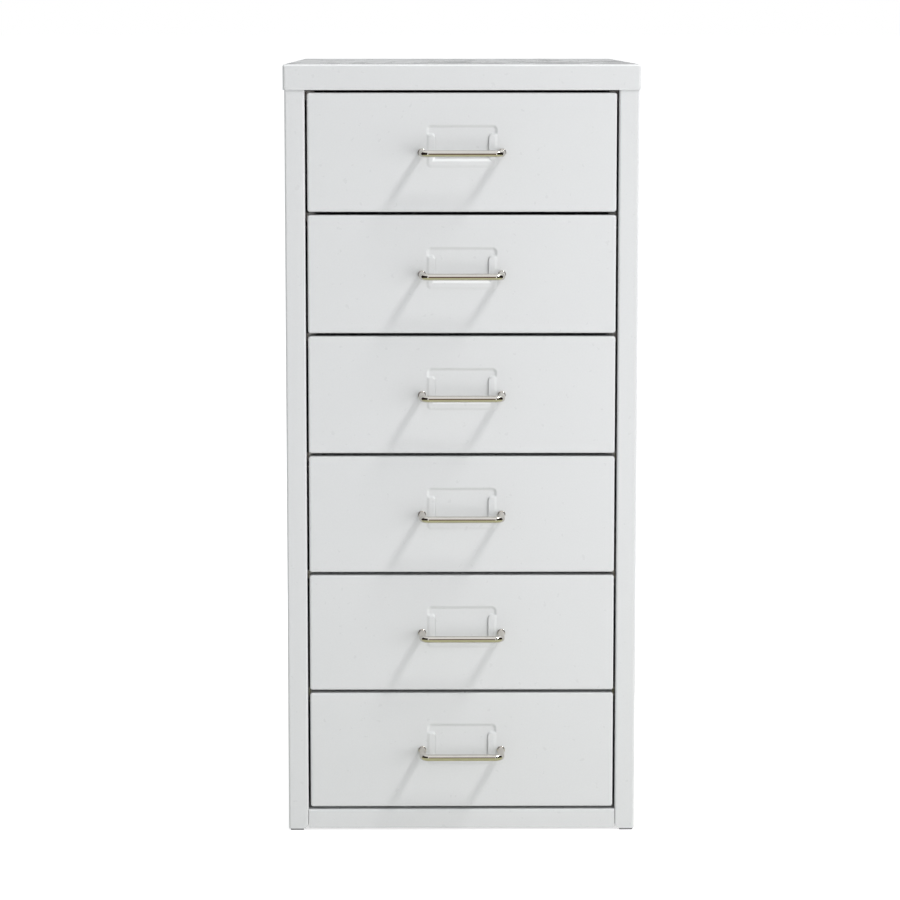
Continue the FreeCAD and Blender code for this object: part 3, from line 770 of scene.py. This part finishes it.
class CABINET_OT_finishes(bpy.types.Operator):
    """Make the materials that the pieces share."""

    bl_idname = "cabinet.finishes"
    bl_label = "Finishes"

    def execute(self, context):
        looks = context.scene.cabinet_finishes
        paint = tuple(looks.paint)
        powder_coat("case_coat", paint, looks.paint_gloss)
        powder_coat("front_coat", paint, looks.paint_gloss)
        powder_coat("cover_coat", paint, looks.paint_gloss, worn_with_painted_light=True)
        tray_paint = shade(paint, TRAY_SHADE)
        tray_roughness = looks.paint_gloss + TRAY_EXTRA_ROUGHNESS
        powder_coat("tray_coat", tray_paint, tray_roughness, unevenness=TRAY_UNEVENNESS)
        chrome_plate("handle_plating", tuple(looks.chrome))
        zinc_plate("runner_zinc", tuple(looks.zinc))
        zinc_plate("bright_zinc", shade(looks.zinc, SCREW_SHADE))
        moulded_plastic("grey_plastic", tuple(looks.plastic))
        return {"FINISHED"}


class CABINET_OT_case(bpy.types.Operator):
    """Paint the panels, base pan and rails."""

    bl_idname = "cabinet.case"
    bl_label = "Case"

    def execute(self, context):
        names = nodes_named("side_panel", "back_panel", "base_pan", "_rail")
        dress(names, bpy.data.materials["case_coat"])
        return {"FINISHED"}


class CABINET_OT_cover(bpy.types.Operator):
    """Paint the top cover."""

    bl_idname = "cabinet.cover"
    bl_label = "Top cover"

    def execute(self, context):
        dress(["top_cover"], bpy.data.materials["cover_coat"])
        return {"FINISHED"}


class CABINET_OT_fronts(bpy.types.Operator):
    """Make the drawer fronts."""

    bl_idname = "cabinet.fronts"
    bl_label = "Drawer fronts"

    def execute(self, context):
        for number in range(1, len(DRAWERS) + 1):
            piece = make_front(number)
            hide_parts(f"drawer_{number}_front")
            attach(piece, f"drawer_{number}")
        return {"FINISHED"}


class CABINET_OT_handles(bpy.types.Operator):
    """Make the wire handles."""

    bl_idname = "cabinet.handles"
    bl_label = "Handles"

    def execute(self, context):
        for number in range(1, len(DRAWERS) + 1):
            piece = make_handle(number)
            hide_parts(f"drawer_{number}_handle")
            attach(piece, f"drawer_{number}")
        return {"FINISHED"}


class CABINET_OT_trays(bpy.types.Operator):
    """Paint the drawer trays and their rear walls."""

    bl_idname = "cabinet.trays"
    bl_label = "Drawer trays"

    def execute(self, context):
        names = [f"{drawer}_{piece}" for drawer in DRAWERS for piece in ("tray", "back")]
        dress(names, bpy.data.materials["tray_coat"])
        return {"FINISHED"}


class CABINET_OT_hardware(bpy.types.Operator):
    """Finish the runners, screws and glides."""

    bl_idname = "cabinet.hardware"
    bl_label = "Runners, screws and glides"

    def execute(self, context):
        dress(nodes_named("runner"), bpy.data.materials["runner_zinc"])
        dress(nodes_named("screws"), bpy.data.materials["bright_zinc"])
        dress(nodes_named("glide"), bpy.data.materials["grey_plastic"])
        return {"FINISHED"}


def make_camera(stage):
    """Camera at the photograph's viewing angle."""
    data = bpy.data.cameras.new("camera")
    data.lens = stage.lens
    camera = bpy.data.objects.new("camera", data)
    top = packed_bounds[1].z
    camera.location = (stage.aside, FACE_Y - stage.distance, top + stage.eye)
    camera.rotation_euler = (math.pi / 2 - stage.pitch, 0, stage.yaw)
    bpy.context.scene.collection.objects.link(camera)
    bpy.context.scene.camera = camera


def seen_directly(tree):
    """1 for rays that show the background to the eye, in metal or through glass, else 0."""
    path = tree.nodes.new("ShaderNodeLightPath")
    total = path.outputs["Is Camera Ray"]
    for name in ("Is Glossy Ray", "Is Transmission Ray"):
        larger = tree.nodes.new("ShaderNodeMath")
        larger.operation = "MAXIMUM"
        tree.links.new(total, larger.inputs[0])
        tree.links.new(path.outputs[name], larger.inputs[1])
        total = larger.outputs["Value"]
    return total


def make_floor(stage):
    """Plain pale floor that looks white to the camera and keeps the cabinet's shadow."""
    half = stage.floor
    mesh = bpy.data.meshes.new("floor")
    corners = [(-half, -half, 0), (half, -half, 0), (half, half, 0), (-half, half, 0)]
    mesh.from_pydata(corners, [], [(0, 1, 2, 3)])
    material = bpy.data.materials.new("floor")
    material.use_nodes = True
    tree = material.node_tree
    shader = tree.nodes["Principled BSDF"]
    shader.inputs["Base Color"].default_value = (FLOOR_GREY, FLOOR_GREY, FLOOR_GREY, 1)
    shader.inputs["Roughness"].default_value = FLOOR_ROUGHNESS
    shader.inputs["Specular IOR Level"].default_value = 0
    glow = tree.nodes.new("ShaderNodeEmission")
    glow.inputs["Color"].default_value = (FLOOR_GLOW, FLOOR_GLOW, FLOOR_GLOW, 1)
    tree.links.new(seen_directly(tree), glow.inputs["Strength"])
    both = tree.nodes.new("ShaderNodeAddShader")
    tree.links.new(shader.outputs["BSDF"], both.inputs[0])
    tree.links.new(glow.outputs["Emission"], both.inputs[1])
    tree.links.new(both.outputs["Shader"], tree.nodes["Material Output"].inputs["Surface"])
    mesh.materials.append(material)
    floor = bpy.data.objects.new("floor", mesh)
    bpy.context.scene.collection.objects.link(floor)


def card_material(name, tint):
    """Plain matte card."""
    material = bpy.data.materials.new(name)
    material.use_nodes = True
    shader = material.node_tree.nodes["Principled BSDF"]
    shader.inputs["Base Color"].default_value = (*tint, 1)
    shader.inputs["Roughness"].default_value = 1
    shader.inputs["Specular IOR Level"].default_value = 0
    return material


def make_card(name, tint, profile, start, end):
    """Card swept round the cabinet's face, between two directions as seen from above."""
    shape = bmesh.new()
    steps = max(round((end - start) / CARD_STEP), 1)
    turns = [start + (end - start) * step / steps for step in range(steps + 1)]
    rows = []
    for radius, height in profile:
        points = [
            (radius * math.sin(turn), FACE_Y - radius * math.cos(turn), height) for turn in turns
        ]
        rows.append(add_ring(shape, points))
    for low, high in zip(rows, rows[1:]):
        for index in range(steps):
            shape.faces.new((low[index], low[index + 1], high[index + 1], high[index]))
    mesh = bpy.data.meshes.new(name)
    shape.to_mesh(mesh)
    shape.free()
    mesh.materials.append(card_material(name, tint))
    card = bpy.data.objects.new(name, mesh)
    card.visible_camera = False
    card.visible_diffuse = False
    card.visible_shadow = False
    card.visible_transmission = False
    bpy.context.scene.collection.objects.link(card)


def make_cards(stage):
    """Cards that only reflections show: cream floor, brown ahead, dark beside, grey behind."""
    inner, outer = (stage.card_disc, CARD_LIFT), (stage.card_reach, CARD_LIFT)
    make_card("cream_card", CREAM, ((CARD_HOLE, CARD_LIFT), inner), -math.pi, math.pi)
    ahead = (inner, outer, (stage.card_reach, stage.card_height))
    make_card("brown_card", BROWN, ahead, -stage.card_middle, stage.card_middle)
    beside = (inner, outer, (stage.card_reach, stage.card_side_height))
    for name, side in (("left", -1), ("right", 1)):
        edges = sorted((side * stage.card_side_start, side * stage.card_side_end))
        make_card(f"dark_{name}_card", DARK, beside, *edges)
    behind = (outer, (stage.card_reach, stage.card_rear_height))
    make_card("grey_card", GREY, behind, math.pi - stage.card_rear, math.pi + stage.card_rear)


def make_world(stage):
    """Even light from all round, behind a background that is seen as white."""
    world = bpy.data.worlds.new("studio")
    bpy.context.scene.world = world
    world.use_nodes = True
    tree = world.node_tree
    tree.nodes.clear()

    direction = tree.nodes.new("ShaderNodeTexCoord")
    split = tree.nodes.new("ShaderNodeSeparateXYZ")
    tree.links.new(direction.outputs["Generated"], split.inputs["Vector"])
    fade = map_range(tree, split.outputs["Z"], stage.sky, stage.zenith, *SKY_FADE)
    backdrop = map_range(tree, split.outputs["Y"], 0, stage.backdrop, 0, BACKDROP_RISE)
    total = tree.nodes.new("ShaderNodeMath")
    tree.links.new(fade, total.inputs[0])
    tree.links.new(backdrop, total.inputs[1])
    even = tree.nodes.new("ShaderNodeBackground")
    even.inputs["Color"].default_value = (*SKY_TINT, 1)
    tree.links.new(total.outputs["Value"], even.inputs["Strength"])
    white = tree.nodes.new("ShaderNodeBackground")
    white.inputs["Color"].default_value = (1, 1, 1, 1)
    final = tree.nodes.new("ShaderNodeMixShader")
    tree.links.new(seen_directly(tree), final.inputs["Fac"])
    tree.links.new(even.outputs["Background"], final.inputs[1])
    tree.links.new(white.outputs["Background"], final.inputs[2])
    output = tree.nodes.new("ShaderNodeOutputWorld")
    tree.links.new(final.outputs["Shader"], output.inputs["Surface"])


def lamp(name, place, target, size, watts, along):
    """Rectangular soft lamp that faces a target, its height as near to a direction as it can."""
    data = bpy.data.lights.new(name, "AREA")
    data.shape = "RECTANGLE"
    data.size, data.size_y = size
    data.energy = watts
    soft_lamp = bpy.data.objects.new(name, data)
    back = (place - target).normalized()
    across = along.cross(back).normalized()
    soft_lamp.location = place
    soft_lamp.rotation_euler = Matrix((across, back.cross(across), back)).transposed().to_euler()
    soft_lamp.visible_camera = False
    bpy.context.scene.collection.objects.link(soft_lamp)
    return soft_lamp


def make_lamps(stage):
    """Key lamp to the upper right and a broad lamp to the right of the camera."""
    middle = Vector((0, FACE_Y, packed_bounds[1].z / 2))
    towards = Vector(
        (
            math.sin(stage.key_azimuth) * math.cos(stage.key_elevation),
            -math.cos(stage.key_azimuth) * math.cos(stage.key_elevation),
            math.sin(stage.key_elevation),
        )
    )
    outward, up = Vector((0, -1, 0)), Vector((0, 0, 1))
    key_place = middle + towards * stage.key_distance
    key_size = (stage.key_width, stage.key_length)
    lamp("key", key_place, middle, key_size, stage.key_power, outward)
    side_place = Vector((stage.side_aside, FACE_Y - stage.side_ahead, stage.side_rise))
    side_size = (stage.side_width, stage.side_height)
    side_lamp = lamp("side", side_place, middle, side_size, stage.side_power, up)
    side_lamp.visible_glossy = False  # the handles already show the white background there


class CABINET_OT_stage(bpy.types.Operator):
    """Make the camera, floor, lamps and background."""

    bl_idname = "cabinet.stage"
    bl_label = "Stage"

    def execute(self, context):
        stage = context.scene.cabinet_stage
        make_camera(stage)
        make_floor(stage)
        make_cards(stage)
        make_world(stage)
        make_lamps(stage)
        context.scene.view_settings.view_transform = "Standard"
        return {"FINISHED"}


class CABINET_PT_panel(bpy.types.Panel):
    """Lists what the cabinet is made of."""

    bl_idname = "CABINET_PT_panel"
    bl_label = "Drawer cabinet"
    bl_space_type = "VIEW_3D"
    bl_region_type = "UI"
    bl_category = "Cabinet"

    def draw(self, context):
        layout = self.layout
        for group in GROUPS:
            settings = getattr(context.scene, group)
            box = layout.box()
            for name in settings.bl_rna.properties.keys():
                if name not in ("rna_type", "name"):
                    box.prop(settings, name)
        for operator in OPERATORS:
            layout.operator(operator.bl_idname)


GROUPS = {
    "cabinet_front": FrontSizes,
    "cabinet_label": LabelSizes,
    "cabinet_handle": HandleSizes,
    "cabinet_finishes": Finishes,
    "cabinet_stage": StageSizes,
}
OPERATORS = (
    CABINET_OT_stage,
    CABINET_OT_finishes,
    CABINET_OT_case,
    CABINET_OT_cover,
    CABINET_OT_fronts,
    CABINET_OT_handles,
    CABINET_OT_trays,
    CABINET_OT_hardware,
)


def register():
    """Makes the cabinet's settings, operators and panel known to Blender."""
    for kind in (*GROUPS.values(), *OPERATORS, CABINET_PT_panel):
        bpy.utils.register_class(kind)
    for name, kind in GROUPS.items():
        setattr(bpy.types.Scene, name, bpy.props.PointerProperty(type=kind))


def unregister():
    """Takes them out again."""
    for name in GROUPS:
        delattr(bpy.types.Scene, name)
    for kind in reversed((*GROUPS.values(), *OPERATORS, CABINET_PT_panel)):
        bpy.utils.unregister_class(kind)


def main():
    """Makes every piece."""
    register()
    bpy.ops.cabinet.stage()
    bpy.ops.cabinet.finishes()
    bpy.ops.cabinet.case()
    bpy.ops.cabinet.cover()
    bpy.ops.cabinet.fronts()
    bpy.ops.cabinet.handles()
    bpy.ops.cabinet.trays()
    bpy.ops.cabinet.hardware()


if __name__ == "__main__":
    main()
